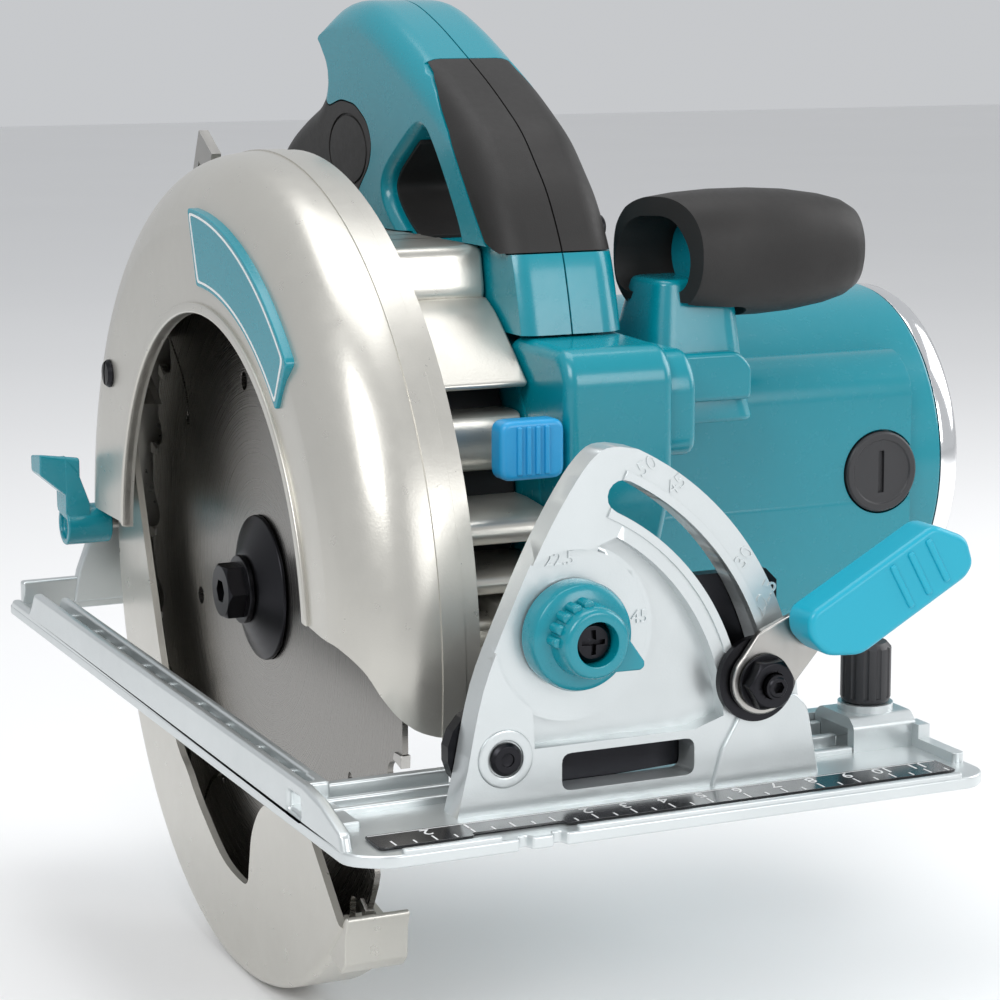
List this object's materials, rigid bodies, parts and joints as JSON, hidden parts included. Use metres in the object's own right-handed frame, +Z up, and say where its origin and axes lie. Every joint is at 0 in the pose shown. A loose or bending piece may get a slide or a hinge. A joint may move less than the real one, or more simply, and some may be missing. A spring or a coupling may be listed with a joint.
{
  "type": "circular saw",
  "caption": "Corded circular saw with a bevelling cast base, cast upper guard, sprung lower guard, toothed blade, side motor, loop handle and front grip.",
  "frame": {"origin": "on the underside of the base, on the line of cut, straight below the front bevel pivot", "axes": "+X to the motor side, +Y to the rear of the base, +Z up; all joints at their rest values"},
  "size_m": [0.24, 0.302, 0.2717],
  "materials": {
    "cast_silver": "die cast, painted silver, satin",
    "cast_warm": "cast magnesium, painted warm silver, satin",
    "teal_plastic": "glossy moulded nylon",
    "lever_plastic": "satin moulded nylon",
    "blue_plastic": "satin moulded nylon",
    "rubber": "matt overmoulded rubber",
    "black_plastic": "matt moulded plastic",
    "polished": "polished",
    "steel": "ground steel",
    "dark_steel": "black oxide",
    "steel_laminations": "stacked laminations with windings, modelled as one ring",
    "armature_copper": "laminations and copper windings, modelled as one solid",
    "carbon": "pressed carbon"
  },
  "bodies": {
    "base": {"base_plate": "cast_silver", "edge_scale": "black_plastic", "front_bevel_pin": "dark_steel", "rear_bevel_pin": "dark_steel", "stopper_screw": "dark_steel"},
    "fence_clamp": {"fence_clamp_screw": "black_plastic"},
    "stopper": {"stopper_knob": "teal_plastic"},
    "tilt": {"angle_plate": "dark_steel", "depth_pivot_pin": "steel", "bevel_clamp_bolt": "dark_steel", "bevel_clamp_washer": "dark_steel"},
    "bevel_lever": {"bevel_lever_plate": "steel", "bevel_lever_grip": "lever_plastic", "bevel_clamp_nut": "dark_steel"},
    "guide": {"depth_guide": "steel"},
    "head": {"upper_guard": "cast_warm", "guard_badge": "teal_plastic", "gear_housing": "cast_warm", "bearing_retainer": "cast_silver", "motor_housing": "teal_plastic", "end_cap": "polished", "handle_left": "teal_plastic", "handle_right": "teal_plastic", "grip_rubber_left": "rubber", "grip_rubber_right": "rubber", "rear_pad_left": "rubber", "rear_pad_right": "rubber", "front_grip_rubber": "rubber", "stator": "steel_laminations", "brush_cap_front": "black_plastic", "brush_cap_rear": "black_plastic", "carbon_brush_front": "carbon", "carbon_brush_rear": "carbon", "armature_front_bearing": "steel", "armature_rear_bearing": "steel", "spindle_bearing": "steel", "spindle_needle_bearing": "steel", "bearing_bracket": "cast_silver", "air_baffle": "black_plastic", "power_switch": "black_plastic", "cord_inlet": "black_plastic", "depth_clamp_bolt": "steel", "depth_clamp_nut": "steel", "handle_screw_1": "dark_steel", "handle_screw_2": "dark_steel", "guard_return_spring": "steel"},
    "spindle_body": {"saw_blade": "steel", "inner_flange": "dark_steel", "outer_flange": "dark_steel", "blade_bolt": "dark_steel", "spindle": "steel", "drive_gear": "steel"},
    "armature_body": {"armature_shaft": "steel", "armature_core": "armature_copper", "commutator": "armature_copper", "cooling_fan": "black_plastic"},
    "lower_guard_body": {"lower_guard": "cast_warm"},
    "depth_lever_body": {"depth_lever": "teal_plastic"},
    "trigger_body": {"trigger": "black_plastic"},
    "shaft_lock_body": {"shaft_lock": "blue_plastic"}
  },
  "joints": [
    {"name": "bevel_tilt", "type": "hinge", "parent": "base", "child": "tilt", "pos_m": [0.0035, 0, 0.016], "axis": [0, -1, 0], "range_deg": [0, 50]},
    {"name": "guide_tilt", "type": "hinge", "parent": "base", "child": "guide", "pos_m": [0.0035, 0, 0.016], "axis": [0, -1, 0], "range_deg": [0, 50]},
    {"name": "depth_swing", "type": "hinge", "parent": "tilt", "child": "head", "pos_m": [0, 0.024, 0.03], "axis": [1, 0, 0], "range_deg": [0, 26]},
    {"name": "stopper_turn", "type": "hinge", "parent": "base", "child": "stopper", "pos_m": [0.021, 0, 0.044], "axis": [0, -1, 0], "range_deg": [0, 145]},
    {"name": "bevel_lever_swing", "type": "hinge", "parent": "tilt", "child": "bevel_lever", "pos_m": [0.06878, 0, 0.02869], "axis": [0, -1, 0], "range_deg": [0, 70]},
    {"name": "fence_clamp_turn", "type": "hinge", "parent": "base", "child": "fence_clamp", "pos_m": [0.113, 0.0185, 0], "axis": [0, 0, 1], "range_deg": [0, 720]},
    {"name": "spindle_spin", "type": "hinge", "parent": "head", "child": "spindle_body", "pos_m": [0, 0.152, 0.028], "axis": [1, 0, 0], "continuous": true},
    {"name": "armature_spin", "type": "hinge", "parent": "head", "child": "armature_body", "pos_m": [0, 0.152, 0.056], "axis": [1, 0, 0], "continuous": true},
    {"name": "lower_guard_swing", "type": "hinge", "parent": "head", "child": "lower_guard_body", "pos_m": [0, 0.152, 0.028], "axis": [1, 0, 0], "range_deg": [0, 100], "stiffness_Nm_per_rad": 0.25, "springref_deg": -68.75},
    {"name": "depth_lever_swing", "type": "hinge", "parent": "head", "child": "depth_lever_body", "pos_m": [0, 0.267, 0.0285], "axis": [1, 0, 0], "range_deg": [0, 60]},
    {"name": "trigger_press", "type": "hinge", "parent": "head", "child": "trigger_body", "pos_m": [0.056, 0.12041, 0.1497], "axis": [-1, 0, 0], "range_deg": [0, 8], "stiffness_Nm_per_rad": 0.6, "springref_deg": -14.32},
    {"name": "shaft_lock_push", "type": "slide", "parent": "head", "child": "shaft_lock_body", "axis": [0, 1, 0], "range_m": [0, 0.003], "stiffness_N_per_m": 600, "springref_m": -0.004}
  ],
  "couplings": [
    {"joint": "guide_tilt", "follows": "bevel_tilt", "ratio": 1},
    {"joint": "armature_spin", "follows": "spindle_spin", "ratio": -5.375}
  ]
}
